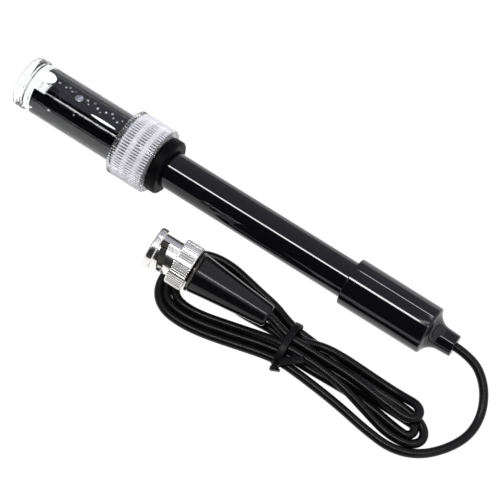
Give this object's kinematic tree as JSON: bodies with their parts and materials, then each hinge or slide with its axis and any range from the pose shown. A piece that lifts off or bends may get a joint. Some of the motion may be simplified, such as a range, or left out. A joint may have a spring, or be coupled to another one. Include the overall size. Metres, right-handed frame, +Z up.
{
  "type": "ph electrode",
  "caption": "Black combination pH electrode in a clear screw-capped storage bottle, with a moulded handle and a bundled coaxial lead ending in a bayonet plug.",
  "frame": {"origin": "on the table, under the middle of the rod's length from the bottle's foot to the handle's neck", "axes": "+X along the rod to the handle, +Y away from the bundled lead, +Z up"},
  "size_m": [0.1787, 0.0509, 0.0224],
  "materials": {
    "body_plastic": "gloss black moulded tube",
    "handle_plastic": "satin black moulded handle",
    "bottle_plastic": "clear moulded bottle",
    "cap_plastic": "milky ribbed cap",
    "ring_rubber": "black rubber",
    "seal_rubber": "pale soft washer",
    "liquid": "clear storage solution",
    "sensor_glass": "clear blown glass",
    "gel": "cloudy reference gel",
    "silver": "silver wire",
    "lead_plastic": "insulated lead",
    "ceramic": "porous ceramic ring",
    "sealant": "cured sealant",
    "cable_jacket": "satin black jacket",
    "tie_plastic": "black twist tie",
    "nickel": "bright nickel plate",
    "spring_steel": "spring steel",
    "insulator_plastic": "white insulator",
    "contact_plate": "gold plate",
    "gasket_rubber": "grey silicone",
    "boot_rubber": "satin black moulded boot"
  },
  "bodies": {
    "electrode": {"body_tube": "body_plastic", "handle": "handle_plastic", "inner_buffer": "liquid", "glass_stem": "sensor_glass", "reference_gel": "gel", "silver_wire": "silver", "reference_wire": "silver", "signal_lead": "lead_plastic", "reference_lead": "lead_plastic", "reference_junction": "ceramic", "tip_seal": "sealant", "top_seal": "sealant", "stem_stopper": "sealant", "cable_run": "cable_jacket", "cable_hank": "cable_jacket", "cable_tail": "cable_jacket", "hank_tie": "tie_plastic", "bnc_body": "nickel", "bnc_ferrule": "nickel", "bnc_spring_washer": "spring_steel", "bnc_insulator": "insulator_plastic", "bnc_pin": "contact_plate", "bnc_gasket": "gasket_rubber", "bnc_boot": "boot_rubber"},
    "cap": {"bottle_cap": "cap_plastic", "cap_seal": "seal_rubber"},
    "ring": {"shaft_ring": "ring_rubber"},
    "solution": {"storage_solution": "liquid"},
    "bottle": {"storage_bottle": "bottle_plastic"},
    "coupling_carrier": {"bnc_retaining_ring": "nickel"},
    "coupling": {"bnc_coupling": "nickel"}
  },
  "joints": [
    {"name": "pull_off", "type": "slide", "parent": "electrode", "child": "cap", "axis": [-0.9994, 0, 0.0333], "range_m": [0, 0.06]},
    {"name": "ring_slide", "type": "slide", "parent": "electrode", "child": "ring", "axis": [0.9994, 0, -0.0333], "range_m": [0, 0.06]},
    {"name": "thread_travel", "type": "slide", "parent": "cap", "child": "solution", "axis": [-0.9994, 0, 0.0333], "range_m": [0, 0.0075]},
    {"name": "bottle_turn", "type": "hinge", "parent": "solution", "child": "bottle", "pos_m": [-0.07946, 0, 0.01269], "axis": [-0.9994, 0, 0.0333], "range_deg": [0, 1080]},
    {"name": "coupling_push", "type": "slide", "parent": "electrode", "child": "coupling_carrier", "axis": [-0.9808, -0.0737, 0.1805], "range_m": [0, 0.0005], "stiffness_N_per_m": 2000},
    {"name": "coupling_turn", "type": "hinge", "parent": "coupling_carrier", "child": "coupling", "pos_m": [0.00132, -0.0243, 0.01029], "axis": [-0.9808, -0.0737, 0.1805], "continuous": true}
  ],
  "couplings": [
    {"joint": "bottle_turn", "follows": "thread_travel", "rad_per_m": 2513.3}
  ]
}
